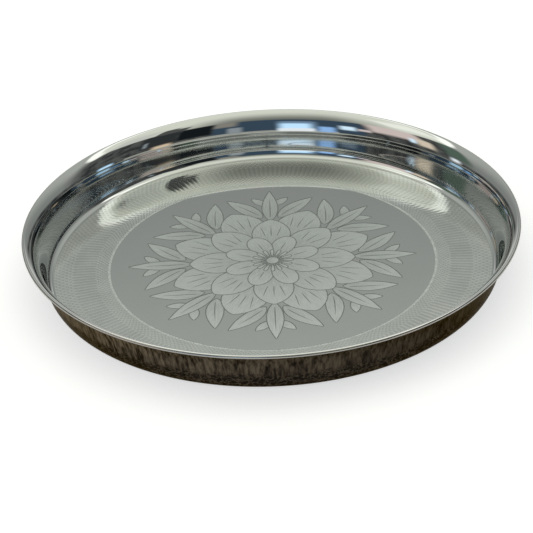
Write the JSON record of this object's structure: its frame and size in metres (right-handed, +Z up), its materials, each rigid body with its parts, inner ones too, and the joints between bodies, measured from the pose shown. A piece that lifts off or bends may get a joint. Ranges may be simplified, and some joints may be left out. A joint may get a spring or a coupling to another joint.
{
  "type": "dinner plate",
  "caption": "Round stainless steel dinner plate with a flat etched floor, a coved corner, a steep side wall, a flared lip and a rolled edge.",
  "frame": {"origin": "centre of the underside of the floor, on the surface that the plate stands on", "axes": "+Z up along the axis of the plate, X and Y level"},
  "size_m": [0.28, 0.28, 0.028],
  "materials": {
    "etched_centre": "polished stainless steel with a frosted etched flower design",
    "engraved_steel": "polished stainless steel engraved with fine wavy radial lines",
    "mirror_steel": "mirror polished inside, satin drawn steel outside"
  },
  "bodies": {
    "root": {"polished_centre": "etched_centre", "engraved_border": "engraved_steel", "corner_cove": "mirror_steel", "side_wall": "mirror_steel", "flared_lip": "mirror_steel", "rolled_edge": "mirror_steel"}
  },
  "joints": []
}
